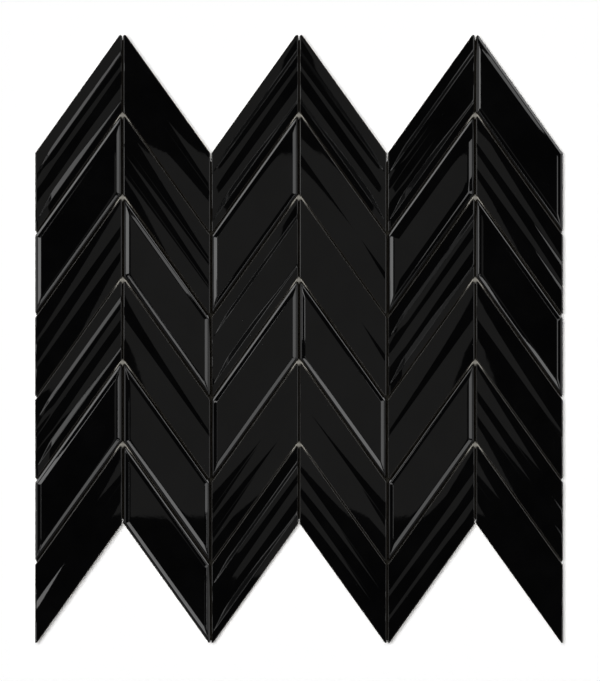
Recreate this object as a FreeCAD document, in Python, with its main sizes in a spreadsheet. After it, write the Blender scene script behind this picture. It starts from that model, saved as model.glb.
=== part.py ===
import FreeCAD, Part
import os
import Sketcher

# Chevron wall tile: one loose mosaic sheet of glazed parallelogram tiles on a mesh backing.
# The sheet lies flat with the glaze up. X runs across the columns, Y up the points, Z out of the wall.
# The origin is the middle of the underside of the backing.

columns = 6
rows = 6

# Relief of each tile, row by row from the top, one letter for each column from the left.
# b bevelled, d double lobe, t triple lobe, f fluted, which steps down in uneven lobes
relief_plan = [
    "fdfffb",
    "btbdbt",
    "tbfdfb",
    "fdbbdd",
    "bbtdbt",
    "dbfttd",
]

sizes = {
    "tile_width": 42.8,
    "tile_rise": 59.9,
    "tile_edge": 39.5,
    "tile_height": 7.6,
    "column_joint": 0.6,
    "row_joint": 0.6,
    "peak_radius": 0.8,
    "point_radius": 0.5,
    "blunt_radius": 1.2,
    "rim_radius": 1.2,
    "bevel_width": 2.8,
    "bevel_drop": 0.74,
    "crease_depth": 0.26,
    "double_start": -12.0,
    "double_low_lobe": 12.5,
    "double_high_lobe": 17.2,
    "triple_start": -12.6,
    "triple_low_lobe": 9.1,
    "triple_middle_lobe": 7.1,
    "triple_high_lobe": 13.5,
    "flute_start": -12.0,
    "flute_toe": 3.5,
    "flute_toe_drop": 2.25,
    "flute_toe_radius": 4.6,
    "flute_broad": 8.7,
    "flute_broad_drop": 1.85,
    "flute_broad_radius": 18.0,
    "flute_small": 4.8,
    "flute_small_drop": 1.15,
    "flute_small_radius": 17.4,
    "flute_brow": 8.7,
    "flute_brow_drop": 1.08,
    "flute_brow_radius": 24.0,
    "flute_top_drop": 0.15,
    "key_width": 3.2,
    "key_pitch": 6.0,
    "key_depth": 0.5,
    "key_margin": 5.0,
    "mesh_thickness": 0.4,
    "mesh_inset": 3.0,
    "bead_height": 5.2,
    "bead_clearance": 0.2,
}

doc = FreeCAD.newDocument("chevron_wall_tile")
sheet = doc.addObject("Spreadsheet::Sheet", "Sizes")
for line, (name, value) in enumerate(sizes.items(), start=1):
    sheet.set(f"A{line}", name)
    sheet.set(f"B{line}", str(value))
    sheet.setAlias(f"B{line}", name)
doc.recompute()

# Layout worked out from the sizes.
slope = "(Sizes.tile_rise / Sizes.tile_width)"
slant = f"atan({slope})"
along = f"(Sizes.tile_width / cos({slant}))"
upright_joint = f"(Sizes.row_joint / cos({slant}))"
row_pitch = f"(Sizes.tile_edge + {upright_joint})"
column_pitch = "(Sizes.tile_width + Sizes.column_joint)"
side_height = f"({rows} * Sizes.tile_edge + {rows - 1} * {upright_joint})"
sheet_width = f"({columns} * Sizes.tile_width + {columns - 1} * Sizes.column_joint)"
tip_factor = f"(1 / tan((90 deg - {slant}) / 2) - 1)"
peak_cut = f"(Sizes.peak_radius * {tip_factor})"
point_cut = f"(Sizes.point_radius * {tip_factor})"
top_peak = f"((Sizes.tile_rise + {side_height} + {peak_cut} - {point_cut}) / 2)"
first_row = f"({top_peak} - Sizes.tile_rise / 2 - Sizes.tile_edge / 2)"


def number(text):
    return float(sheet.evalExpression(text))


def origin_plane(body, role):
    return next(item for item in body.Origin.OriginFeatures if item.Role == role)


def add_body(name):
    return doc.addObject("PartDesign::Body", name)


def add_sketch(body, name, role, height="0"):
    sketch = body.newObject("Sketcher::SketchObject", name)
    sketch.AttachmentSupport = [(origin_plane(body, role), "")]
    sketch.MapMode = "FlatFace"
    sketch.setExpression("AttachmentOffset.Base.z", height)
    return sketch


def pin(sketch, edge, end, x, y):
    for kind, text in (("DistanceX", x), ("DistanceY", y)):
        row = sketch.addConstraint(Sketcher.Constraint(kind, -1, 1, edge, end, number(text)))
        sketch.setExpression(f"Constraints[{row}]", text)


def draw_polygon(sketch, corners):
    spots = [FreeCAD.Vector(number(x), number(y), 0) for x, y in corners]
    ends = spots[1:] + spots[:1]
    sides = [sketch.addGeometry(Part.LineSegment(a, b)) for a, b in zip(spots, ends)]
    for side, after, corner in zip(sides, sides[1:] + sides[:1], corners):
        sketch.addConstraint(Sketcher.Constraint("Coincident", side, 2, after, 1))
        pin(sketch, side, 1, *corner)


def pad(body, name, sketch, length):
    feature = body.newObject("PartDesign::Pad", name)
    feature.Profile = sketch
    feature.setExpression("Length", length)
    return feature


def edges_where(feature, test):
    return [f"Edge{i}" for i, edge in enumerate(feature.Shape.Edges, start=1) if test(edge)]


def at_height(height):
    return lambda edge: all(abs(v.Z - height) < 1e-5 for v in edge.Vertexes)


def upright_at(x, y):
    return lambda edge: all(abs(v.X - x) < 1e-5 and abs(v.Y - y) < 1e-5 for v in edge.Vertexes)


# Outline of one tile that slants up to the right, about its own middle, glaze up.
right_x = "(Sizes.tile_width / 2)"
left_x = "(-Sizes.tile_width / 2)"
left_top = (left_x, "((Sizes.tile_edge - Sizes.tile_rise) / 2)")
right_top = (right_x, "((Sizes.tile_edge + Sizes.tile_rise) / 2)")
right_low = (right_x, "((Sizes.tile_rise - Sizes.tile_edge) / 2)")
left_low = (left_x, "(-(Sizes.tile_rise + Sizes.tile_edge) / 2)")
outline = [left_top, left_low, right_low, right_top]


def pressed_blank(name):
    body = add_body(name)
    sketch = add_sketch(body, f"{name}_outline", "XY_Plane")
    draw_polygon(sketch, outline)
    block = pad(body, f"{name}_block", sketch, "Sizes.tile_height")
    doc.recompute()
    return body, block


def round_edges(body, name, base, edges, radius):
    feature = body.newObject("PartDesign::Fillet", name)
    feature.Base = (base, edges)
    feature.setExpression("Radius", radius)
    doc.recompute()
    return feature


# Die outline: the same parallelogram with its upright corners rounded, so the points are blunt in plan.
die, die_step = pressed_blank("die_outline")
for label, corner, radius in (
    ("peak_corner", right_top, "Sizes.peak_radius"),
    ("point_corner", left_low, "Sizes.point_radius"),
    ("blunt_corner_left", left_top, "Sizes.blunt_radius"),
    ("blunt_corner_right", right_low, "Sizes.blunt_radius"),
):
    found = edges_where(die_step, upright_at(number(corner[0]), number(corner[1])))
    die_step = round_edges(die, label, die_step, found, radius)

# Keys: three shallow grooves along the back of each tile, stopped short of its ends, that hold the bond.
key_plan = add_sketch(die, "key_plan", "XY_Plane")
key_end = "(Sizes.tile_width / 2 - Sizes.key_margin)"
for place in (-1, 0, 1):
    low = f"(({place} * Sizes.key_pitch - Sizes.key_width / 2) / cos({slant}))"
    high = f"(({place} * Sizes.key_pitch + Sizes.key_width / 2) / cos({slant}))"
    draw_polygon(key_plan, [
        (f"(-{key_end})", f"({low} - {slope} * {key_end})"),
        (key_end, f"({low} + {slope} * {key_end})"),
        (key_end, f"({high} + {slope} * {key_end})"),
        (f"(-{key_end})", f"({high} - {slope} * {key_end})"),
    ])
keys = die.newObject("PartDesign::Pocket", "back_keys")
keys.Profile = key_plan
keys.Reversed = True
keys.setExpression("Length", "Sizes.key_depth")
doc.recompute()
if keys.Shape.Volume >= die_step.Shape.Volume:
    raise RuntimeError("the back keys cut nothing")

# Soft blank: a flat face whose rim is rounded over all round.
soft, soft_block = pressed_blank("soft_blank")
top_rim = edges_where(soft_block, at_height(number("Sizes.tile_height")))
round_edges(soft, "soft_rim", soft_block, top_rim, "Sizes.rim_radius")

# Bevelled face: a table inside a wide bevel, and the rim below the bevel rounded over.
bevelled, bevel_block = pressed_blank("bevel_blank")
bevel = bevelled.newObject("PartDesign::Chamfer", "face_bevel")
bevel.Base = (bevel_block, edges_where(bevel_block, at_height(number("Sizes.tile_height"))))
bevel.ChamferType = "Two distances"
bevel.setExpression("Size", "Sizes.bevel_drop")
bevel.setExpression("Size2", "Sizes.bevel_width")
doc.recompute()
bevel_foot = number("Sizes.tile_height - Sizes.bevel_drop")
round_edges(bevelled, "bevel_rim", bevel, edges_where(bevel, at_height(bevel_foot)), "Sizes.rim_radius")


# Ridged faces: a bar along the long edge whose top is a row of convex lobes that meet in creases.
# Each stop is a place across the tile, from its lower edge up, and how far the crease lies below the crest.
def ridged_bar(name, stops, radii):
    body = add_body(name)
    sketch = add_sketch(body, f"{name}_profile", "YZ_Plane")
    rim = [(place, f"(Sizes.tile_height - {drop})") for place, drop in stops]
    spots = [FreeCAD.Vector(number(x), number(y), 0) for x, y in rim]
    for i, radius in enumerate(radii):
        chord = spots[i + 1] - spots[i]
        rise = number(radius) - (number(radius) ** 2 - chord.Length ** 2 / 4) ** 0.5
        upward = FreeCAD.Vector(-chord.y, chord.x, 0).normalize()
        crown = (spots[i] + spots[i + 1]) / 2 + upward * rise
        sketch.addGeometry(Part.Arc(spots[i + 1], crown, spots[i]))
        row = sketch.addConstraint(Sketcher.Constraint("Radius", i, number(radius)))
        sketch.setExpression(f"Constraints[{row}]", radius)
        pin(sketch, i, 2, *rim[i])
    last = len(radii) - 1
    pin(sketch, last, 1, *rim[-1])
    for i in range(last):
        sketch.addConstraint(Sketcher.Constraint("Coincident", i, 1, i + 1, 2))
    low_foot, high_foot = (rim[0][0], "0"), (rim[-1][0], "0")
    base = [FreeCAD.Vector(number(x), number(y), 0) for x, y in (low_foot, high_foot)]
    low_side = sketch.addGeometry(Part.LineSegment(spots[0], base[0]))
    under = sketch.addGeometry(Part.LineSegment(base[0], base[1]))
    high_side = sketch.addGeometry(Part.LineSegment(base[1], spots[-1]))
    sketch.addConstraint(Sketcher.Constraint("Coincident", low_side, 1, 0, 2))
    sketch.addConstraint(Sketcher.Constraint("Coincident", low_side, 2, under, 1))
    sketch.addConstraint(Sketcher.Constraint("Coincident", under, 2, high_side, 1))
    sketch.addConstraint(Sketcher.Constraint("Coincident", high_side, 2, last, 1))
    pin(sketch, under, 1, *low_foot)
    pin(sketch, under, 2, *high_foot)
    bar = pad(body, f"{name}_bar", sketch, f"2 * {along}")
    bar.Midplane = True
    body.setExpression("Placement.Rotation.Angle", slant)
    doc.recompute()
    return body


def running_stops(start, widths, drops):
    places = [start]
    for width in widths:
        places.append(f"({places[-1]} + {width})")
    return list(zip(places, drops))


def even_lobes(name, start, widths):
    depth = "Sizes.crease_depth"
    radii = [f"(({width})^2 / (8 * {depth}) + {depth} / 2)" for width in widths]
    return ridged_bar(name, running_stops(start, widths, [depth] * (len(widths) + 1)), radii)


double_bar = even_lobes(
    "double_lobes", "Sizes.double_start", ["Sizes.double_low_lobe", "Sizes.double_high_lobe"]
)
triple_bar = even_lobes(
    "triple_lobes",
    "Sizes.triple_start",
    ["Sizes.triple_low_lobe", "Sizes.triple_middle_lobe", "Sizes.triple_high_lobe"],
)
flute_parts = ["toe", "broad", "small", "brow"]
flute_bar = ridged_bar(
    "flutes",
    running_stops(
        "Sizes.flute_start",
        [f"Sizes.flute_{part}" for part in flute_parts],
        [f"Sizes.flute_{part}_drop" for part in flute_parts + ["top"]],
    ),
    [f"Sizes.flute_{part}_radius" for part in flute_parts],
)


def common(name, first, second):
    feature = doc.addObject("Part::Common", name)
    feature.Base = first
    feature.Tool = second
    doc.recompute()
    return feature


# The four tiles that slant up to the right, and their mirror images that slant down.
bevel_tile = common("bevel_tile", bevelled, die)
soft_tile = common("soft_tile", soft, die)
double_tile = common("double_tile", soft_tile, double_bar)
triple_tile = common("triple_tile", soft_tile, triple_bar)
flute_tile = common("flute_tile", soft_tile, flute_bar)

kinds = {
    "b": ("bevel_tile", bevel_tile),
    "d": ("double_lobe_tile", double_tile),
    "t": ("triple_lobe_tile", triple_tile),
    "f": ("fluted_tile", flute_tile),
}
mirrored = {}
for letter, (name, rising) in kinds.items():
    falling = doc.addObject("Part::Mirroring", f"{name}_falling")
    falling.Source = rising
    falling.Normal = FreeCAD.Vector(1, 0, 0)
    mirrored[letter] = falling
doc.recompute()

# The sheet: rising columns and falling columns in turn, so their ends meet in points.
pieces = []
for r in range(rows):
    for c in range(columns):
        letter = relief_plan[r][c]
        name, rising = kinds[letter]
        tile = doc.addObject("App::Link", f"tile_c{c + 1}_r{r + 1}")
        tile.LinkedObject = rising if c % 2 == 0 else mirrored[letter]
        tile.Label = f"{name}_c{c + 1}_r{r + 1}"
        tile.setExpression("Placement.Base.x", f"{c - (columns - 1) / 2} * {column_pitch}")
        tile.setExpression("Placement.Base.y", f"{first_row} - {r} * {row_pitch}")
        tile.setExpression("Placement.Base.z", "Sizes.mesh_thickness")
        pieces.append(tile)

# Mesh backing: one thin sheet to the zigzag of the tiles, set back from their edges, with the glue
# that has come up between the tiles standing as a bead in each gap behind a chevron point.
backing = add_body("mesh_backing")
mesh_outline = add_sketch(backing, "mesh_outline", "XY_Plane")
upright_inset = f"(Sizes.mesh_inset / cos({slant}))"
mesh_drop = f"({side_height} - 2 * {upright_inset})"
upper = []
for k in range(columns + 1):
    if k in (0, columns):
        side = "-" if k == 0 else ""
        x = f"({side}({sheet_width} / 2 - Sizes.mesh_inset))"
        y = f"({top_peak} - Sizes.tile_rise + {slope} * Sizes.mesh_inset - {upright_inset})"
    else:
        x = f"({k - columns / 2} * {column_pitch})"
        corner = f"+ {slope} * Sizes.column_joint / 2"
        if k % 2 == 0:
            corner = f"- Sizes.tile_rise - {slope} * Sizes.column_joint / 2"
        y = f"({top_peak} {corner} - {upright_inset})"
    upper.append((x, y))
lower = [(x, f"({y} - {mesh_drop})") for x, y in reversed(upper)]
draw_polygon(mesh_outline, upper + lower)
pad(backing, "mesh_sheet", mesh_outline, "Sizes.mesh_thickness")

bead_drop = f"(({upright_joint} + {peak_cut}) / 2)"
bead_radius = (
    f"(sin({slant}) * Sizes.column_joint / 2 + cos({slant}) * {bead_drop} - Sizes.bead_clearance)"
)
bead_plan = add_sketch(backing, "bead_plan", "XY_Plane", "Sizes.mesh_thickness")
for k in range(1, columns, 2):
    for r in range(1, rows):
        x = f"({k - columns / 2} * {column_pitch})"
        y = f"({top_peak} - {r} * {row_pitch} + {upright_joint} - {bead_drop})"
        spot = FreeCAD.Vector(number(x), number(y), 0)
        circle = Part.Circle(spot, FreeCAD.Vector(0, 0, 1), number(bead_radius))
        index = bead_plan.addGeometry(circle)
        pin(bead_plan, index, 3, x, y)
        row = bead_plan.addConstraint(Sketcher.Constraint("Radius", index, number(bead_radius)))
        bead_plan.setExpression(f"Constraints[{row}]", bead_radius)
pad(backing, "glue_beads", bead_plan, "Sizes.bead_height")
backing.Label = "mesh_backing"
pieces.append(backing)
doc.recompute()

for item in doc.Objects:
    if "Invalid" in item.State or "Error" in item.State:
        raise RuntimeError(f"{item.Label} did not compute: {item.State}")
os.makedirs("parts", exist_ok=True)
for piece in pieces:
    shape = Part.getShape(piece)
    if shape.isNull() or not shape.isValid() or len(shape.Solids) != 1:
        raise RuntimeError(f"{piece.Label} is not one sound solid")
    shape.Solids[0].exportStep(f"parts/{piece.Label}.step")
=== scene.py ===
import math

import bpy
import numpy as np
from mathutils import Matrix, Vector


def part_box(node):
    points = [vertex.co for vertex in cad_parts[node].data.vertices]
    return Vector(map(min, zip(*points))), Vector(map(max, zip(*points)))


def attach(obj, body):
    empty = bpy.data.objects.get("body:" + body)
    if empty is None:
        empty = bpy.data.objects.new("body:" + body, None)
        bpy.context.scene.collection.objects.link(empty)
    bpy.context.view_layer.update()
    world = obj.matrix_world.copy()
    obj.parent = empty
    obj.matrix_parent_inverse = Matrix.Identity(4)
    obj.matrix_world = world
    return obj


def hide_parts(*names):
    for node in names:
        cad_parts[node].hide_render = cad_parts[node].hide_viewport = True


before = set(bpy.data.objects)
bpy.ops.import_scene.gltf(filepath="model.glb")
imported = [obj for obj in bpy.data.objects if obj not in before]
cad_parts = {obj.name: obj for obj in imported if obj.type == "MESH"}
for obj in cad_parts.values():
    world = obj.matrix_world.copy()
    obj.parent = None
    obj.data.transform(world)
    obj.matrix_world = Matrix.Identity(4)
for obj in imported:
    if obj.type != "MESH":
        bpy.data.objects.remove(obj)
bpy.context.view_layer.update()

# Tile bodies: every tile is pressed from pale clay in the same parallelogram die, with blunt corners,
# a soft rim and three key grooves along the back. Black glaze covers the face and runs down the sides.
mm = 0.001
tile_names = sorted(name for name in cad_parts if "tile_c" in name)
first_low, first_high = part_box(tile_names[0])
tile_width = first_high[0] - first_low[0]
tile_height = first_high[2] - first_low[2]
tile_rise = 59.9 * mm
tile_edge = 39.5 * mm
slope = tile_rise / tile_width
slant = math.atan(slope)
across_width = tile_edge * math.cos(slant)
peak_radius = 0.8 * mm
point_radius = 0.5 * mm
blunt_radius = 1.2 * mm
tip_factor = 1 / math.tan((math.pi / 2 - slant) / 2) - 1
tip_difference = (peak_radius - point_radius) * tip_factor
corners = np.array([
    (-tile_width / 2, (tile_edge - tile_rise) / 2),
    (-tile_width / 2, -(tile_edge + tile_rise) / 2),
    (tile_width / 2, (tile_rise - tile_edge) / 2),
    (tile_width / 2, (tile_edge + tile_rise) / 2),
])
corner_radii = [blunt_radius, point_radius, blunt_radius, peak_radius]
inner_corner_radius = 0.12 * mm
foot_inset = 0.45 * mm
foot_height = 0.5 * mm
glaze_stop = 1.7 * mm
thin_rim = 0.6 * mm
past_rims = 1.0
key_width = 3.2 * mm
key_pitch = 6.0 * mm
key_depth = 0.5 * mm
key_margin = 5.0 * mm
key_end_ramp = 0.5 * mm
# Inset, height and share of bare clay of each ring up the sides.
side_rings = [
    (foot_inset, 0.0, 1.0),
    (0.12 * mm, foot_height, 1.0),
    (0.06 * mm, glaze_stop, 0.5),
    (0.03 * mm, 2 * glaze_stop, 0.0),
]


def turned(vector, angles):
    """The plane vector turned by each of the angles."""
    c, s = np.cos(angles), np.sin(angles)
    return np.stack([c * vector[0] - s * vector[1], s * vector[0] + c * vector[1]], axis=-1)


def outline_side(side, inset, fractions):
    """Points along one side of the outline at that inset, from the middle of one corner to the next."""
    start, end = corners[side], corners[(side + 1) % 4]
    before, after = corners[side - 1], corners[(side + 2) % 4]
    run = (end - start) / np.linalg.norm(end - start)
    outward = np.array([run[1], -run[0]])
    ends = []
    for corner, other, here, index in ((start, before, run, side), (end, after, -run, (side + 1) % 4)):
        back = (other - corner) / np.linalg.norm(other - corner)
        half = math.acos(np.clip(here @ back, -1, 1)) / 2
        inward = (here + back) / np.linalg.norm(here + back)
        radius = max(corner_radii[index] - inset, inner_corner_radius)
        moved = corner + inward * inset / math.sin(half)
        centre = moved + inward * radius / math.sin(half)
        ends.append((moved, centre, radius, radius / math.tan(half), radius * (math.pi / 2 - half), inward))
    (p, p_centre, p_radius, p_reach, p_arc, p_in), (q, q_centre, q_radius, q_reach, q_arc, q_in) = ends
    straight = np.linalg.norm(q - p) - p_reach - q_reach
    s = fractions * (p_arc + straight + q_arc)
    points = p + run * (p_reach + s - p_arc)[:, None]
    on_p = s < p_arc
    points[on_p] = p_centre + p_radius * turned(-p_in, s[on_p] / p_radius)
    past = s - p_arc - straight
    on_q = past > 0
    points[on_q] = q_centre + q_radius * turned(outward, past[on_q] / q_radius)
    return points


def outline_ring(inset, along, across):
    """The closed outline at that inset, counter-clockwise from the upper blunt corner."""
    sides = [outline_side(k, inset, across if k % 2 == 0 else along)[:-1] for k in range(4)]
    return np.concatenate(sides)


def tile_places(points):
    """How far along the tile (0 left end, 1 right end) and across it (0 upper edge, 1 lower edge)."""
    along = points[..., 0] / tile_width + 0.5
    across = 0.5 - (points[..., 1] - slope * points[..., 0]) / tile_edge
    return along, across


def pressed_tile(along, across, rim_insets, face_drop):
    """Points, faces, clay and rim shares of one rising tile about its middle, with its foot at height 0."""
    along_steps, across_steps = len(along) - 1, len(across) - 1
    rings, heights, clay, rim = [], [], [], []
    for inset, height, bare in side_rings:
        ring = outline_ring(inset, along, across)
        rings.append(ring)
        heights.append(np.full(len(ring), height))
        clay.append(np.full(len(ring), bare))
        rim.append(np.zeros(len(ring)))
    for inset in rim_insets:
        ring = outline_ring(inset, along, across)
        rings.append(ring)
        heights.append(tile_height - face_drop(np.full(len(ring), inset), *tile_places(ring)))
        clay.append(np.zeros(len(ring)))
        rim.append(np.full(len(ring), max(1 - inset / thin_rim, 0)))
    count = len(rings[0])
    faces = []
    for k in range(len(rings) - 1):
        low = k * count + np.arange(count)
        low_next = k * count + (np.arange(count) + 1) % count
        faces += np.stack([low, low_next, low_next + count, low + count], axis=1).tolist()

    def grid_of(first):
        """Index of the ring's points as the border of a grid, rows from the upper edge down."""
        index = np.full((across_steps + 1, along_steps + 1), -1)
        index[:, 0] = first + np.arange(across_steps + 1)
        index[-1, :] = first + across_steps + np.arange(along_steps + 1)
        index[::-1, -1] = first + across_steps + along_steps + np.arange(across_steps + 1)
        index[0, ::-1] = first + (2 * across_steps + along_steps + np.arange(along_steps + 1)) % count
        return index

    last = rings[-1]
    face = grid_of((len(rings) - 1) * count)
    border = face - (len(rings) - 1) * count
    f, g = along[1:-1][None, :, None], across[1:-1][:, None, None]
    left, right = last[border[1:-1, 0]][:, None], last[border[1:-1, -1]][:, None]
    upper, lower = last[border[0, 1:-1]][None], last[border[-1, 1:-1]][None]
    inner = (1 - f) * left + f * right + (1 - g) * upper + g * lower
    inner -= (1 - g) * ((1 - f) * last[border[0, 0]] + f * last[border[0, -1]])
    inner -= g * ((1 - f) * last[border[-1, 0]] + f * last[border[-1, -1]])
    inner = inner.reshape(-1, 2)
    first_inner = len(rings) * count
    face[1:-1, 1:-1] = first_inner + np.arange(len(inner)).reshape(across_steps - 1, along_steps - 1)
    rings.append(inner)
    heights.append(tile_height - face_drop(np.full(len(inner), past_rims), *tile_places(inner)))
    clay.append(np.zeros(len(inner)))
    rim.append(np.zeros(len(inner)))
    quads = np.stack([face[:-1, :-1], face[1:, :-1], face[1:, 1:], face[:-1, 1:]], axis=-1)
    faces += quads.reshape(-1, 4).tolist()

    back = grid_of(0)
    near = key_margin / tile_width
    ramp = key_end_ramp / tile_width
    columns = np.array([near - ramp, near, 1 - near, 1 - near + ramp])
    left, right = rings[0][back[1:-1, 0]], rings[0][back[1:-1, -1]]
    keyed = left[:, None] + (right - left)[:, None] * columns[None, :, None]
    _, back_across = tile_places(keyed)
    offset = (0.5 - back_across) * across_width
    in_key = np.abs(offset - key_pitch * np.clip(np.round(offset / key_pitch), -1, 1)) < key_width / 2
    in_key[:, [0, 3]] = False
    first_back = first_inner + len(inner)
    rings.append(keyed.reshape(-1, 2))
    heights.append(np.where(in_key, key_depth, 0.0).ravel())
    clay.append(np.ones(keyed.shape[0] * keyed.shape[1]))
    rim.append(np.zeros(keyed.shape[0] * keyed.shape[1]))
    middle = first_back + np.arange(keyed.shape[0] * 4).reshape(-1, 4)
    rows = np.concatenate([back[1:-1, :1], middle, back[1:-1, -1:]], axis=1)
    strips = np.stack([rows[:-1, :-1], rows[:-1, 1:], rows[1:, 1:], rows[1:, :-1]], axis=-1)
    faces += strips.reshape(-1, 4).tolist()
    faces.append(back[0].tolist() + rows[0, ::-1].tolist())
    faces.append(rows[-1].tolist() + back[-1, ::-1].tolist())
    points = np.column_stack([np.concatenate(rings), np.concatenate(heights)])
    return points, faces, {"clay": np.concatenate(clay), "rim": np.concatenate(rim)}


# Black glaze: a thick glossy stoneware glaze. It is slightly uneven in tone and gloss, breaks to a thin
# brown at the rim, and leaves the foot and the back in bare pale clay.
glaze = bpy.data.materials.new("black_glaze")
glaze.use_nodes = True


def shader_of(material):
    """The main shader of a material."""
    return material.node_tree.nodes["Principled BSDF"]


def join(material, source, target):
    material.node_tree.links.new(source, target)


def ramp_between(material, source, low, high, start, end):
    """Colours or greys from low to high as the source goes from start to end."""
    node = material.node_tree.nodes.new("ShaderNodeValToRGB")
    for stop, place, value in zip(node.color_ramp.elements, (start, end), (low, high)):
        stop.position = place
        stop.color = (*value, 1) if isinstance(value, tuple) else (value, value, value, 1)
    join(material, source, node.inputs["Fac"])
    return node.outputs["Color"]


def mixed(material, factor, first, second):
    """Colour that goes from first to second with the factor. Each is a socket or a colour."""
    node = material.node_tree.nodes.new("ShaderNodeMix")
    node.data_type = "RGBA"
    join(material, factor, node.inputs["Factor"])
    for name, value in (("A", first), ("B", second)):
        socket = next(s for s in node.inputs if s.name == name and s.type == "RGBA")
        if isinstance(value, tuple):
            socket.default_value = (*value, 1)
        else:
            join(material, value, socket)
    return next(s for s in node.outputs if s.type == "RGBA")


def noise(material, scale, detail, roughness=0.5):
    """Noise in the object's own metres."""
    place = material.node_tree.nodes.new("ShaderNodeTexCoord")
    node = material.node_tree.nodes.new("ShaderNodeTexNoise")
    node.inputs["Scale"].default_value = scale
    node.inputs["Detail"].default_value = detail
    node.inputs["Roughness"].default_value = roughness
    join(material, place.outputs["Object"], node.inputs["Vector"])
    return node.outputs["Fac"]


def share(material, name):
    """One of the shares stored on the points of a piece."""
    node = material.node_tree.nodes.new("ShaderNodeAttribute")
    node.attribute_name = name
    return node.outputs["Fac"]


def bump(material, height, strength, distance):
    """Surface direction roughened by the height."""
    node = material.node_tree.nodes.new("ShaderNodeBump")
    node.inputs["Strength"].default_value = strength
    node.inputs["Distance"].default_value = distance
    join(material, height, node.inputs["Height"])
    return node.outputs["Normal"]


glaze_black = (0.0008, 0.0008, 0.0009)
glaze_soft_black = (0.0016, 0.0016, 0.0017)
rim_brown = (0.008, 0.006, 0.004)
clay_pale = (0.66, 0.62, 0.54)
clay_dull = (0.52, 0.48, 0.41)
glaze_roughness = (0.018, 0.034)
clay_roughness = (0.85, 0.85, 0.85)

glaze_tone = ramp_between(glaze, noise(glaze, 60, 3), glaze_black, glaze_soft_black, 0.35, 0.7)
glaze_rim = mixed(glaze, share(glaze, "rim"), glaze_tone, rim_brown)
clay_tone = ramp_between(glaze, noise(glaze, 900, 6, 0.6), clay_dull, clay_pale, 0.3, 0.65)
ragged_line = glaze.node_tree.nodes.new("ShaderNodeMath")
ragged_line.operation = "MULTIPLY_ADD"
ragged_line.inputs[1].default_value = 0.5
join(glaze, noise(glaze, 260, 2), ragged_line.inputs[0])
join(glaze, share(glaze, "clay"), ragged_line.inputs[2])
bare = ramp_between(glaze, ragged_line.outputs[0], 0.0, 1.0, 0.66, 0.74)
join(glaze, mixed(glaze, bare, glaze_rim, clay_tone), shader_of(glaze).inputs["Base Color"])
gloss = ramp_between(glaze, noise(glaze, 140, 4), *glaze_roughness, 0.3, 0.75)
join(glaze, mixed(glaze, bare, gloss, clay_roughness), shader_of(glaze).inputs["Roughness"])
shader_of(glaze).inputs["IOR"].default_value = 1.5
orange_peel = bump(glaze, noise(glaze, 320, 1), 0.12, 0.02 * mm)
clay_grain = bump(glaze, noise(glaze, 2600, 4), 0.25, 0.05 * mm)
peel_or_grain = glaze.node_tree.nodes.new("ShaderNodeMix")
peel_or_grain.data_type = "VECTOR"
vector_inputs = [s for s in peel_or_grain.inputs if s.type == "VECTOR"]
join(glaze, bare, peel_or_grain.inputs["Factor"])
join(glaze, orange_peel, [s for s in vector_inputs if s.name == "A"][0])
join(glaze, clay_grain, [s for s in vector_inputs if s.name == "B"][0])
join(glaze, [s for s in peel_or_grain.outputs if s.type == "VECTOR"][0], shader_of(glaze).inputs["Normal"])


def add_piece(name, points, faces, material, shares):
    """A smooth-shaded mesh object with its shares stored on its points."""
    mesh = bpy.data.meshes.new(name)
    mesh.from_pydata(points.tolist(), [], faces)
    for share_name, values in shares.items():
        layer = mesh.attributes.new(share_name, "FLOAT", "POINT")
        layer.data.foreach_set("value", np.asarray(values, dtype=np.float32))
    mesh.materials.append(material)
    mesh.update()
    for polygon in mesh.polygons:
        polygon.use_smooth = True
    mesh.set_sharp_from_angle(angle=math.radians(38))
    piece = bpy.data.objects.new(name, mesh)
    bpy.context.scene.collection.objects.link(piece)
    return piece


def lay_tiles(names, pattern):
    """One piece for each named node: columns 1, 3, 5 rise to the right, 2, 4, 6 are mirrored."""
    points, faces, shares = pattern
    for node in names:
        column, row = (int(part[1:]) for part in node.rsplit("_", 2)[1:])
        low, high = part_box(node)
        laid = points.copy()
        laid_faces = faces
        if column % 2 == 0:
            laid[:, 0] = -laid[:, 0]
            laid_faces = [face[::-1] for face in faces]
        laid[:, 0] += (low[0] + high[0]) / 2
        laid[:, 1] += (low[1] + high[1] + tip_difference) / 2
        laid[:, 2] += low[2]
        piece = add_piece(f"glazed_{node}", laid, laid_faces, glaze, shares)
        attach(piece, "root")
        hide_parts(node)


# Bevelled tiles: twelve of the tiles have a flat table inside a shallow bevel that runs all round and
# mitres at the corners, pressed in the die with a rolled facet outside it. One tile has a second, fainter
# bevel inside three sides, and the bevel of another is slightly steeper.
bevel_width = 2.8 * mm
bevel_tilt = math.radians(15.0)
table_edge_softness = 0.14 * mm
second_bevel_width = 5.5 * mm
second_bevel_tilt = 0.12
second_bevel_tile = "bevel_tile_c5_r2"
steeper_tilt = 0.0283
steeper_tile = "bevel_tile_c1_r2"
arris_radius = 0.68 * mm
arris_tilt = math.radians(45)
arris_steps = 6
facet_insets = np.array([0.20, 1.05, 1.40]) * mm
facet_tilts = np.radians([45, 28, 15])
facet_samples = 241


def stations(steps, crowding):
    """Fractions from 0 to 1 that crowd towards both ends."""
    t = np.linspace(0, 1, steps + 1)
    return t - crowding * np.sin(2 * math.pi * t) / (2 * math.pi)


def round_over(radius, edge_tilt, steps):
    """Insets of the rings that round an edge over until it leans by the edge tilt."""
    return radius * (1 - np.sin(np.linspace(math.pi / 2, edge_tilt, steps + 1)))


def rim_drop(gap, radius, edge_tilt):
    """How far a rounded edge lies below the plane that leans by the edge tilt and meets it."""
    reach = np.clip(1 - gap / radius, math.sin(edge_tilt), 1)
    return radius * (math.cos(edge_tilt) - np.sqrt(1 - reach ** 2))


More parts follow.
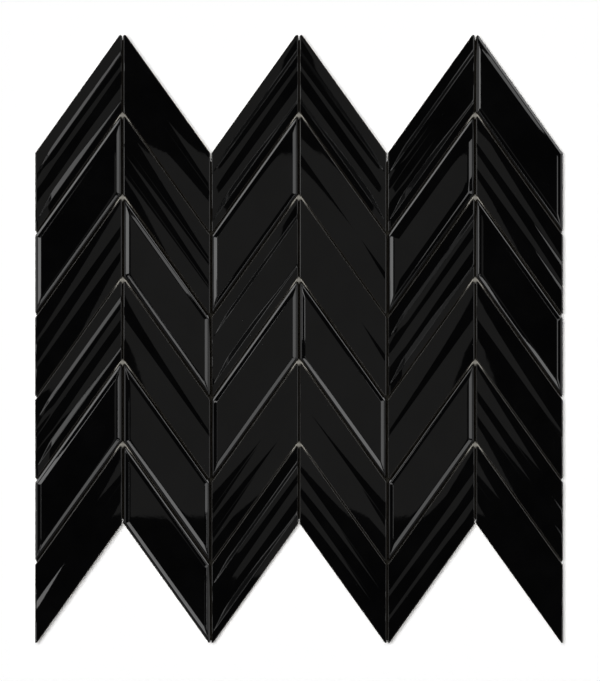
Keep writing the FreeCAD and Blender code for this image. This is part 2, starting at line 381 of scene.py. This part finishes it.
def soft_lean(inset, width, tilt):
    """Drop of a bevel of that width and tilt, with a soft edge where it meets the level face."""
    below = width - inset
    return math.tan(tilt) * (below + np.sqrt(below ** 2 + table_edge_softness ** 2)) / 2


def facet_drop(inset):
    """How far the rolled facet outside the bevel, and the arris below it, lie under the bevel's plane."""
    places = np.linspace(facet_insets[0], facet_insets[-1], facet_samples)
    excess = np.tan(np.interp(places, facet_insets, facet_tilts)) - math.tan(bevel_tilt)
    lost = np.cumsum(excess[::-1])[::-1] * (places[1] - places[0])
    return np.interp(inset, places, lost) + rim_drop(inset, arris_radius, arris_tilt)


def bevel_drop(inset, along, across):
    return soft_lean(inset, bevel_width, bevel_tilt) + facet_drop(inset)


def second_bevel_drop(inset, along, across):
    gap = np.minimum(along * tile_width, np.minimum(across, 1 - across) * across_width)
    second = soft_lean(np.maximum(gap, bevel_width), second_bevel_width, second_bevel_tilt)
    return bevel_drop(inset, along, across) + second


def steeper_bevel_drop(inset, along, across):
    return bevel_drop(inset, along, across) + soft_lean(inset, bevel_width, steeper_tilt)


odd_bevels = {second_bevel_tile: second_bevel_drop, steeper_tile: steeper_bevel_drop}
bevel_names = [name for name in tile_names if name.startswith("bevel_tile")]
bevel_stations = (stations(22, 0.85), stations(22, 0.3))
bevel_rings = np.concatenate([
    round_over(arris_radius, arris_tilt, arris_steps),
    np.array([0.30, 0.45, 0.60, 0.75, 0.90, 1.0, 1.05, 1.12, 1.2, 1.3, 1.4, 1.5, 1.8, 2.4, 2.6, 2.7, 2.77,
              2.83, 2.9, 3.0, 3.3, 4.0, 4.8, 5.2, 5.4, 5.5, 5.6, 5.8, 6.3]) * mm,
])
lay_tiles([name for name in bevel_names if name not in odd_bevels],
          pressed_tile(*bevel_stations, bevel_rings, bevel_drop))
for name, odd_drop in odd_bevels.items():
    lay_tiles([name], pressed_tile(*bevel_stations, bevel_rings, odd_drop))

# Two-lobe tiles: two soft convex lobes run along the long edge and meet in one crease near mid width.
# The crease is deepest at the valley end of the tile. The long rims are tight and the end rims round.
double_crests = (0.10, 0.75)
double_crease = 0.475
double_fall, double_curl = 0.09, 2.6
double_rise = 0.088
upper_rim_tilt, lower_rim_tilt = -0.02, 0.008
peak_fade = 0.7
side_rim_radius = 0.25 * mm
end_rim_radius = 0.6 * mm
lobe_stations = (stations(48, 0.85), stations(128, 0.3))
lobe_rings = np.concatenate([
    round_over(side_rim_radius, 0, 6),
    np.array([0.32, 0.4, 0.5, 0.6, 0.8, 1.2]) * mm,
])


def slope_profile(tilt):
    """Height lost across the tile, from a tilt given as a function of the place across."""
    across = np.linspace(-0.1, 1.1, 2401)
    lost = np.cumsum(tilt(across)) * (across[1] - across[0]) * across_width
    lost -= np.interp(0.0, across, lost)
    return lambda place: np.interp(place, across, lost)


def lobe_fall(across, crest, crease, steepest, curl):
    """Tilt of a lobe that falls from its crest, ever steeper, to a crease."""
    x = np.clip((across - crest) / (crease - crest), 0, 1)
    return np.where(across < crease, steepest * x ** curl, 0)


def lobe_rise(across, crease, crest, steepest):
    """Tilt of a lobe that rises from a crease, ever gentler, to its crest."""
    x = (crest - across) / (crest - crease)
    return np.where((across > crease) & (across < crest), steepest * x, 0)


def soft_rims(inset, along):
    end_gap = np.minimum(along, 1 - along) * tile_width
    return np.maximum(rim_drop(inset, side_rim_radius, 0), rim_drop(end_gap, end_rim_radius, 0))


def lobe_drop(falls, rises):
    """Drop of a lobed face: what is lost in the falls, and won back in the rises, less at the peak end."""
    lost, won = slope_profile(falls), slope_profile(rises)
    places = np.linspace(0, 1, 401)
    level = max((won(places) - lost(places)).max(), 0)
    return lambda inset, along, across: (
        level + lost(across) - won(across) * (1 - peak_fade * along) + soft_rims(inset, along))


def double_falls(across):
    upper_rim = upper_rim_tilt * np.clip((double_crests[0] - across) / double_crests[0], 0, 1)
    lower_rim = lower_rim_tilt * np.clip((across - double_crests[1]) / (1 - double_crests[1]), 0, 1)
    fall = lobe_fall(across, double_crests[0], double_crease, double_fall, double_curl)
    return upper_rim + fall + lower_rim


def double_rises(across):
    return lobe_rise(across, double_crease, double_crests[1], double_rise)


double_names = [name for name in tile_names if name.startswith("double_lobe_tile")]
lay_tiles(double_names, pressed_tile(*lobe_stations, lobe_rings, lobe_drop(double_falls, double_rises)))

# Three-lobe tiles: three convex lobes side by side, with two creases between them. Each lobe rises
# quickly behind a crease and falls ever steeper into the next one. On two tiles the creases are fainter.
triple_crests = (0.05, 0.48, 0.80)
triple_creases = (0.347, 0.657)
triple_fall, triple_curls = 0.066, (1.3, 0.8)
triple_rise = 0.14
last_rim_tilt = 0.02
faint_share = 0.72


def triple_falls(across):
    first, second = (lobe_fall(across, crest, crease, triple_fall, curl)
                     for crest, crease, curl in zip(triple_crests, triple_creases, triple_curls))
    last_rim = last_rim_tilt * np.clip((across - triple_crests[2]) / (1 - triple_crests[2]), 0, 1)
    return first + second + last_rim


def triple_rises(across):
    return sum(lobe_rise(across, crease, crest, triple_rise)
               for crease, crest in zip(triple_creases, triple_crests[1:]))


def faint_triple_rises(across):
    return faint_share * triple_rises(across)


faint_names = ["triple_lobe_tile_c1_r3", "triple_lobe_tile_c6_r5"]
triple_names = [name for name in tile_names if name.startswith("triple_lobe_tile")]
lay_tiles([name for name in triple_names if name not in faint_names],
          pressed_tile(*lobe_stations, lobe_rings, lobe_drop(triple_falls, triple_rises)))
lay_tiles(faint_names, pressed_tile(*lobe_stations, lobe_rings, lobe_drop(triple_falls, faint_triple_rises)))

# Fluted tiles: the face steps down across the tile in uneven lobes. Two falls are steep, and they narrow
# towards the ends of the tile. This is the deepest relief of the sheet.
gentle_tilts = [(0.0, 0.05), (0.03, 0.082), (0.10, 0.10), (0.15, 0.10), (0.27, 0.10), (0.285, -0.03),
                (0.34, -0.03), (0.36, 0.0), (0.42, 0.08), (0.46, 0.08), (0.48, 0.0), (0.50, -0.05),
                (0.63, -0.05), (0.64, 0.0), (0.70, 0.08), (0.75, 0.085), (0.86, 0.085), (0.875, -0.05)]
gentle_lost = slope_profile(lambda across: np.interp(across, *zip(*gentle_tilts)))
fall_softness = 0.0015
first_foot, first_width, first_excess = 0.272, 0.066, 0.33
second_foot, second_width, second_excess = 0.865, 0.096, 0.345
widening_end = 0.21
taper_start, taper_share = 0.40, 0.7
lean_share = 0.5
fall_edges = (0.20, 0.27, 0.80, 0.86)
fall_edge_offsets = np.linspace(-0.012, 0.012, 13)
fall_stations = [edge + fall_edge_offsets for edge in fall_edges]
flute_across = np.unique(np.concatenate([stations(96, 0.3), *fall_stations]))


def smooth_step(start, end, value):
    t = np.clip((value - start) / (end - start), 0, 1)
    return t * t * (3 - 2 * t)


def steep_fall(across, foot, width, excess):
    """Extra drop of a steep fall of that width, which ends at its foot."""
    def ramp(x):
        return (x + np.sqrt(x ** 2 + fall_softness ** 2)) / 2
    return excess * across_width * (ramp(across - foot + width) - ramp(across - foot))


def flute_drop(inset, along, across):
    """Drop of a fluted face. Half of what the falls lose as they narrow is made up by a lean of the face."""
    start = smooth_step(0.0, widening_end, along)
    taper = start * (1 - taper_share * smooth_step(taper_start, 1.0, along))
    missing = first_excess * first_width * (1 - start) + second_excess * second_width * (1 - taper)
    first_fall = steep_fall(across, first_foot, first_width * start, first_excess)
    second_fall = steep_fall(across, second_foot, second_width * taper, second_excess)
    lean = lean_share * across_width * missing * across
    return gentle_lost(across) + first_fall + second_fall + lean + soft_rims(inset, along)


fluted_names = [name for name in tile_names if name.startswith("fluted_tile")]
lay_tiles(fluted_names, pressed_tile(lobe_stations[0], flute_across, lobe_rings, flute_drop))

# Mesh backing: an open glass-fibre mesh, woven in flat cream strands and cut to the zigzag of the sheet.
# The tiles are bonded to it, and the glue has come up between them, most of all behind the points.
backing_low, backing_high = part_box("mesh_backing")
strand_pitch = 5.0 * mm
strand_width = 0.75 * mm
strand_depth = 0.2 * mm
weave_depth = 0.09 * mm
mesh_middle = 0.2 * mm
mesh_inset = 3.0 * mm
column_joint = 0.6 * mm
row_joint = 0.6 * mm
column_pitch = tile_width + column_joint
row_pitch = tile_edge + row_joint / math.cos(slant)
first_tile = next(name for name in tile_names if name.endswith("c1_r1"))
sheet_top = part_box(first_tile)[1][1] + peak_radius * tip_factor
side_height = 5 * row_pitch + tile_edge
strand_section = [(math.cos(a), math.sin(a)) for a in np.linspace(0, 2 * math.pi, 6, endpoint=False)]


def upper_edge(x):
    """Height of the sheet's zigzag top edge at x."""
    folded = abs((abs(x) + column_pitch) % (2 * column_pitch) - column_pitch)
    return sheet_top - slope * folded


def sweep(path, section_at):
    """Points and faces of a closed strand along the path, with its section given at each point."""
    sides = len(section_at(0))
    points = np.concatenate([path[i] + section_at(i) for i in range(len(path))])
    faces = []
    for i in range(len(path) - 1):
        for k in range(sides):
            a, b = i * sides + k, i * sides + (k + 1) % sides
            faces.append([a, b, b + sides, a + sides])
    faces.append(list(range(sides))[::-1])
    faces.append([(len(path) - 1) * sides + k for k in range(sides)])
    return points, faces


backing_points, backing_faces, backing_glue, backing_joint_shade = [], [], [], []


def add_to_backing(points, faces, glue, joint_shade):
    """Adds a strand or some glue. Its last argument is painted shade on each point, which darkens glue that
    sits deep in the joints or under the tiles.
    """
    first = sum(len(part) for part in backing_points)
    backing_points.append(points)
    backing_faces.extend([[first + k for k in face] for face in faces])
    backing_glue.append(np.full(len(points), glue))
    backing_joint_shade.append(np.broadcast_to(joint_shade, len(points)))


def strand(points_xy, weave_phase, lengthwise):
    """One flat strand that goes over and under its neighbours."""
    steps = np.arange(len(points_xy))
    lift = weave_depth * np.cos(math.pi * (steps / 2 + weave_phase))
    path = np.column_stack([points_xy, mesh_middle + lift])
    side = np.array([(c * strand_width / 2, s * strand_depth / 2) for c, s in strand_section])
    if lengthwise:
        section = np.column_stack([-side[:, 0], np.zeros(6), side[:, 1]])[::-1]
    else:
        section = np.column_stack([np.zeros(6), side[:, 0], side[:, 1]])
    add_to_backing(*sweep(path, lambda i: section), 0.0, 0.0)


def places_within(half, pitch):
    """Places a pitch apart, to both sides of the middle, within that half width."""
    return np.arange(-math.floor(half / pitch), half / pitch) * pitch


inset_up = mesh_inset / math.cos(slant)
half_sheet = (backing_high[0] - backing_low[0]) / 2
for k, x in enumerate(places_within(half_sheet, strand_pitch)):
    top = upper_edge(x) - inset_up
    bottom = upper_edge(x) - side_height + inset_up
    first, last = math.ceil(bottom / strand_pitch * 2), math.floor(top / strand_pitch * 2)
    ys = np.arange(first, last + 1) * strand_pitch / 2
    strand(np.column_stack([np.full(len(ys), x), ys]), k + first / 2, True)
half_length = max(-backing_low[1], backing_high[1])
xs = places_within(half_sheet, strand_pitch / 2)
tops = np.array([upper_edge(x) for x in xs])
for k, y in enumerate(places_within(half_length, strand_pitch)):
    inside = (y < tops - inset_up) & (y > tops - side_height + inset_up)
    starts = np.flatnonzero(inside & ~np.roll(inside, 1)) if not inside.all() else [0]
    for start in starts:
        end = start
        while end + 1 < len(xs) and inside[end + 1]:
            end += 1
        if end - start >= 2:
            run = xs[start:end + 1]
            phase = k + 1 + round(run[0] / strand_pitch * 2) / 2
            strand(np.column_stack([run, np.full(len(run), y)]), phase, False)

glue_floor = 0.3 * mm
glue_wander = 0.15 * mm
row_level = 1.6 * mm
column_level = 0.9 * mm
apex_level = 6.8 * mm
seam_top = 7.2 * mm
near_swell, near_spread = 4.0 * mm, 5.7 * mm
far_swell, far_spread = 2.6 * mm, 9.0 * mm
seam_reach = 0.97
row_seam_width = row_joint - 0.05 * mm
row_seam_steps = 40
column_seam_width = column_joint - 0.08 * mm
column_seam_steps = 160
column_seam_insets = (4 * mm, 2 * mm)
# A seam's section in half widths, with heights for its foot and shares of its height for its crown.
seam_foot = [(-1, 0.09 * mm), (-2, 0.07 * mm), (-2, 0), (2, 0), (2, 0.07 * mm), (1, 0.09 * mm)]
seam_crown = [(1, 0.90), (0.6, 0.97), (0, 1), (-0.6, 0.97), (-1, 0.90)]
foot_underside = slice(2, 4)
glue_rng = np.random.default_rng(7)


def wandering(steps, spacing):
    """Small uneven changes of level along a seam, drawn at every few steps."""
    draws = glue_rng.normal(0, glue_wander, steps // spacing + 1)
    return np.interp(np.arange(steps + 1), np.arange(0, steps + 1, spacing), draws)


def glue_seam(start, end, width, levels):
    """A seam of glue between two tiles: a thin foot under their edges and a rounded crown at the levels."""
    path = start + (end - start) * np.linspace(0, 1, len(levels))[:, None]
    path = np.column_stack([path, np.zeros(len(levels))])
    run = (end - start) / np.linalg.norm(end - start)
    side = np.array([run[1], -run[0], 0.0]) * width / 2

    def section(i):
        heights = seam_foot + [(s, h * (levels[i] - glue_floor)) for s, h in seam_crown]
        return np.array([side * s + np.array([0, 0, glue_floor + h]) for s, h in heights])

    # Painted shade: the lower the glue sits in the joint, the darker it is painted. The underside of the
    # foot is left unshaded.
    joint_shade = np.clip((apex_level - levels) / (apex_level - row_level), 0, 1)
    joint_shade = np.repeat(joint_shade[:, None], len(seam_foot) + len(seam_crown), axis=1)
    joint_shade[:, foot_underside] = 0
    add_to_backing(*sweep(path, section), 1.0, joint_shade.ravel())


for column in range(6):
    x = (column - 2.5) * column_pitch
    rising = 1 if column % 2 == 0 else -1
    for row in range(5):
        y = sheet_top - tile_rise / 2 - tile_edge - row_joint / math.cos(slant) / 2 - row * row_pitch
        reach = np.array([tile_width / 2, rising * tile_rise / 2]) * seam_reach
        start, end = np.array([x, y]) - reach, np.array([x, y]) + reach
        to_apex = np.linspace(1, 0, row_seam_steps + 1) * np.linalg.norm(2 * reach)
        if rising < 0:
            to_apex = to_apex[::-1]
        near = near_swell * np.exp(-(to_apex / near_spread) ** 6)
        far = far_swell * np.exp(-to_apex / far_spread)
        levels = row_level + wandering(row_seam_steps, 4) + near + far
        glue_seam(start, end, row_seam_width, np.minimum(levels, seam_top))
for joint in range(1, 6):
    x = (joint - 3) * column_pitch
    joint_top = sheet_top if joint % 2 else sheet_top - tile_rise
    start = np.array([x, joint_top - column_seam_insets[0]])
    end = np.array([x, joint_top - side_height + column_seam_insets[1]])
    glue_seam(start, end, column_seam_width, column_level + wandering(column_seam_steps, 5))

bead_turns = 48
bead_shape = [(1.0, 0.0), (1.0, 0.84), (0.93, 0.92), (0.72, 0.97), (0.4, 0.995)]
bead_middle = (row_joint / math.cos(slant) - peak_radius * tip_factor) / 2
bead_clearance = 0.05 * mm
bead_floor = 0.33 * mm
bead_reaches = np.linspace(0.2, 2.6, 121) * mm
# Painted shade on the beads: partly darkened all over, and darker away from their middle, fastest towards
# their upper side.
bead_shade, shade_above, shade_below = 0.57, 0.28, -0.09
turns = np.linspace(0, 2 * math.pi, bead_turns, endpoint=False)
half_tip = (math.pi / 2 - slant) / 2


def bead_reach(angle):
    """How far a bead of glue runs from its middle before it meets the tiles above or below the point."""
    x = np.abs(bead_reaches * math.cos(angle))
    y = bead_middle + bead_reaches * math.sin(angle)
    below_upper = (row_joint / math.cos(slant) - slope * (x - column_joint / 2) - y) * math.cos(slant)
    tip_x = column_joint / 2 + peak_radius
    tip_y = -peak_radius / math.tan(half_tip)
    right, up = x - tip_x, y - tip_y
    on_side = np.clip(-up, 0, None)
    from_side = np.hypot(right, up + on_side)
    on_edge = np.clip(right * math.cos(slant) - up * math.sin(slant), 0, None)
    from_edge = np.hypot(right - on_edge * math.cos(slant), up + on_edge * math.sin(slant))
    from_tip = np.minimum(from_side, from_edge) - peak_radius
    free = np.minimum(below_upper, from_tip) > bead_clearance
    return bead_reaches[-1] if free.all() else bead_reaches[np.argmin(free) - 1]


def stacked_faces(rings):
    """Faces of a closed solid made of rings of points, one above the other."""
    faces = [[k * bead_turns + i, k * bead_turns + (i + 1) % bead_turns,
              (k + 1) * bead_turns + (i + 1) % bead_turns, (k + 1) * bead_turns + i]
             for k in range(rings - 1) for i in range(bead_turns)]
    faces.append(list(range(bead_turns))[::-1])
    faces.append([(rings - 1) * bead_turns + i for i in range(bead_turns)])
    return faces


bead_outline = [bead_reach(a) for a in turns]
for joint in range(1, 6, 2):
    for row in range(1, 6):
        x = (joint - 3) * column_pitch
        y = sheet_top - row * row_pitch + bead_middle
        tall = apex_level - bead_floor + glue_rng.normal(0, glue_wander)
        points = [(x + reach * w * math.cos(a), y + reach * w * math.sin(a), bead_floor + tall * h)
                  for w, h in bead_shape for a, reach in zip(turns, bead_outline)]
        # Painted shade grows with the distance above or below the bead's middle.
        rise = np.array([point[1] - y for point in points]) / mm
        joint_shade = bead_shade + np.where(rise > 0, shade_above, shade_below) * rise
        add_to_backing(np.array(points), stacked_faces(len(bead_shape)), 1.0, np.clip(joint_shade, 0, 1))

dab_radius = 2.6 * mm
dab_levels = (0.28 * mm, 0.36 * mm)
# Painted shade: the tops of the dabs, under the tiles, are painted dark; their undersides stay clean cream.
dab_shade = np.repeat([0.0, 1.0], bead_turns)
for joint in range(1, 6):
    for row in range(1, 6):
        x = (joint - 3) * column_pitch
        y = (sheet_top if joint % 2 else sheet_top - tile_rise) - row * row_pitch
        points = [(x + dab_radius * math.cos(a), y + dab_radius * math.sin(a), z)
                  for z in dab_levels for a in turns]
        add_to_backing(np.array(points), stacked_faces(len(dab_levels)), 1.0, dab_shade)

mesh_cream = (0.80, 0.78, 0.70)
mesh_shade = (0.66, 0.63, 0.54)
glue_cream = (0.60, 0.575, 0.51)
glue_shade = (0.47, 0.45, 0.40)
# The dark colour that painted shade takes the glue towards: deep in the joints, on the upper parts of the
# beads and on the tops of the dabs.
shaded_glue = (0.02, 0.0185, 0.015)
cream = bpy.data.materials.new("mesh_and_glue")
cream.use_nodes = True
strand_tone = ramp_between(cream, noise(cream, 1500, 4), mesh_shade, mesh_cream, 0.3, 0.65)
glue_tone = ramp_between(cream, noise(cream, 300, 4), glue_shade, glue_cream, 0.3, 0.7)
# Glue is mixed towards that dark colour by its share of painted shade.
shaded_glue_tone = mixed(cream, share(cream, "joint_shade"), glue_tone, shaded_glue)
strand_or_glue = mixed(cream, share(cream, "glue"), strand_tone, shaded_glue_tone)
join(cream, strand_or_glue, shader_of(cream).inputs["Base Color"])
cream_gloss = ramp_between(cream, noise(cream, 700, 3), 0.55, 0.8, 0.3, 0.7)
join(cream, cream_gloss, shader_of(cream).inputs["Roughness"])
join(cream, bump(cream, noise(cream, 2400, 3), 0.3, 0.06 * mm), shader_of(cream).inputs["Normal"])

backing = add_piece("woven_mesh_backing", np.concatenate(backing_points), backing_faces, cream,
                    {"glue": np.concatenate(backing_glue), "joint_shade": np.concatenate(backing_joint_shade)})
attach(backing, "root")
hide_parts("mesh_backing")

# Stage: a plain white floor under the sheet, which takes its narrow shadow. It glows a little to the
# camera and in reflections, so that it stays white there.
floor_reach = 12.0
floor_glow = 0.07
floor_mesh = bpy.data.meshes.new("floor")
floor_mesh.from_pydata([(-floor_reach, -floor_reach, 0), (floor_reach, -floor_reach, 0),
                        (floor_reach, floor_reach, 0), (-floor_reach, floor_reach, 0)], [], [[0, 1, 2, 3]])
floor = bpy.data.objects.new("floor", floor_mesh)
bpy.context.scene.collection.objects.link(floor)
floor_paint = bpy.data.materials.new("floor_paint")
floor_paint.use_nodes = True
shader_of(floor_paint).inputs["Base Color"].default_value = (0.93, 0.93, 0.93, 1)
shader_of(floor_paint).inputs["Roughness"].default_value = 0.9
shader_of(floor_paint).inputs["Specular IOR Level"].default_value = 0.0
seen_by = floor_paint.node_tree.nodes.new("ShaderNodeLightPath")
seen = floor_paint.node_tree.nodes.new("ShaderNodeMath")
seen.operation = "MAXIMUM"
join(floor_paint, seen_by.outputs["Is Camera Ray"], seen.inputs[0])
join(floor_paint, seen_by.outputs["Is Glossy Ray"], seen.inputs[1])
glow = floor_paint.node_tree.nodes.new("ShaderNodeMath")
glow.operation = "MULTIPLY"
glow.inputs[1].default_value = floor_glow
join(floor_paint, seen.outputs[0], glow.inputs[0])
shader_of(floor_paint).inputs["Emission Color"].default_value = (1, 1, 1, 1)
join(floor_paint, glow.outputs[0], shader_of(floor_paint).inputs["Emission Strength"])
floor_mesh.materials.append(floor_paint)

# Lights: a dark studio with level panels overhead, bright walls at both sides and pale ones far off, which
# show only in reflections. One soft lamp from the upper left lights the sheet and the floor.
panel_height = 0.60


def panel(name, middle, size, turn, radiance, colour=(1, 1, 1)):
    """A bright panel that only reflections show, given by its middle, size, turn and brightness."""
    lamp = bpy.data.lights.new(name, "AREA")
    lamp.shape = "RECTANGLE"
    lamp.size, lamp.size_y = size
    lamp.energy = radiance * math.pi * size[0] * size[1]
    lamp.color = colour
    holder = bpy.data.objects.new(name, lamp)
    holder.location = middle
    holder.rotation_euler = [math.radians(angle) for angle in turn]
    holder.visible_camera = False
    holder.visible_diffuse = False
    bpy.context.scene.collection.objects.link(holder)


def ceiling_panel(name, middle, size, turn, radiance, colour=(1, 1, 1)):
    panel(name, (*middle, panel_height), size, (0, 0, turn), radiance, colour)


ceiling_panel("centre_panel", (-0.0005, 0.0022), (0.199, 0.205), 0, 0.215, (1.0, 0.99, 0.96))
ceiling_panel("right_panel", (0.366, 0.01775), (0.208, 0.2355), 0, 2.1)
ceiling_panel("right_strip", (0.245, 0.035), (0.034, 0.20), 0, 2.1)
ceiling_panel("right_tail", (0.2975, -0.139), (0.025, 0.079), 0, 2.1)
ceiling_panel("left_panel", (-0.399, 0.082), (0.322, 0.095), 0, 3.5)
ceiling_panel("far_left_panel", (-0.466, 0.017), (0.188, 0.035), 0, 3.5)
ceiling_panel("near_left_panel", (-0.280, 0.017), (0.084, 0.035), 0, 3.5)
ceiling_panel("high_left_panel", (-0.254, 0.153), (0.058, 0.056), 0, 3.5)
ceiling_panel("small_left_panel", (-0.220, -0.074), (0.049, 0.079), 0, 3.0)
ceiling_panel("low_left_panel", (-0.140, -0.276), (0.040, 0.158), 0, 3.2)
ceiling_panel("left_step_panel", (-0.1875, -0.2565), (0.055, 0.197), 0, 3.2)
ceiling_panel("lower_left_panel", (-0.260, -0.280), (0.090, 0.150), 0, 3.2)
ceiling_panel("lowest_left_panel", (-0.350, -0.315), (0.090, 0.130), 0, 3.2)
ceiling_panel("low_right_panel", (0.324, -0.271), (0.238, 0.148), 0, 2.0)
ceiling_panel("lowest_right_panel", (0.394, -0.3975), (0.098, 0.105), 0, 2.0)
ceiling_panel("low_middle_panel", (0.1625, -0.2925), (0.085, 0.105), 0, 2.0)
ceiling_panel("slanted_strip", (0.1806, -0.1701), (0.080, 0.016), 54.5, 2.4)
ceiling_panel("left_slanted_strip", (-0.3489, -0.1935), (0.090, 0.016), -62.4, 2.6)
ceiling_panel("high_right_panel", (0.296, 0.291), (0.257, 0.054), 25, 2.1)
ceiling_panel("far_grey_panel", (0.580, -0.338), (0.100, 0.130), 0, 0.3)
for side, turn in ((-1, -90), (1, 90)):
    panel("wall", (1.2 * side, 0.0, 0.37), (0.70, 0.9), (0, turn, 0), 0.8)
    panel("upper_wall", (1.2 * side, 0.875, 0.45), (0.86, 0.85), (0, turn, 0), 3.2)

sun = bpy.data.lights.new("soft_lamp", "SUN")
sun.energy = math.pi
sun.angle = math.radians(22)
sun_holder = bpy.data.objects.new("soft_lamp", sun)
sun_holder.rotation_euler = (math.radians(-4.5), math.radians(-6.5), 0)
sun_holder.visible_glossy = False
bpy.context.scene.collection.objects.link(sun_holder)

studio_dark = 0.012
world = bpy.data.worlds.new("dark_studio")
world.use_nodes = True
world.node_tree.nodes["Background"].inputs["Color"].default_value = (1, 1, 1, 1)
direction = world.node_tree.nodes.new("ShaderNodeTexCoord")
upward = world.node_tree.nodes.new("ShaderNodeSeparateXYZ")
join(world, direction.outputs["Generated"], upward.inputs[0])
pale_walls = world.node_tree.nodes.new("ShaderNodeMapRange")
for socket, value in (("From Min", 0.35), ("From Max", 0.8), ("To Min", 0.3), ("To Max", studio_dark)):
    pale_walls.inputs[socket].default_value = value
join(world, upward.outputs["Z"], pale_walls.inputs["Value"])
mirrored = world.node_tree.nodes.new("ShaderNodeMath")
mirrored.operation = "MULTIPLY"
join(world, world.node_tree.nodes.new("ShaderNodeLightPath").outputs["Is Glossy Ray"], mirrored.inputs[0])
join(world, pale_walls.outputs[0], mirrored.inputs[1])
studio = world.node_tree.nodes.new("ShaderNodeMath")
studio.operation = "MAXIMUM"
studio.inputs[1].default_value = studio_dark
join(world, mirrored.outputs[0], studio.inputs[0])
join(world, studio.outputs[0], world.node_tree.nodes["Background"].inputs["Strength"])
bpy.context.scene.world = world

# Camera: straight down on the sheet from far off, with the photo's frame of 600 by 681 pixels, which the
# sheet nearly fills.
camera_height = 4.0
frame_height = 0.3352
aim = (0.0005, -0.00075)
camera = bpy.data.cameras.new("camera")
camera.sensor_width = 36.0
camera.lens = camera.sensor_width * (camera_height - tile_height) / frame_height
camera.clip_end = 60.0
camera_holder = bpy.data.objects.new("camera", camera)
camera_holder.location = (*aim, camera_height)
bpy.context.scene.collection.objects.link(camera_holder)
bpy.context.scene.camera = camera_holder
bpy.context.scene.view_settings.view_transform = "Standard"
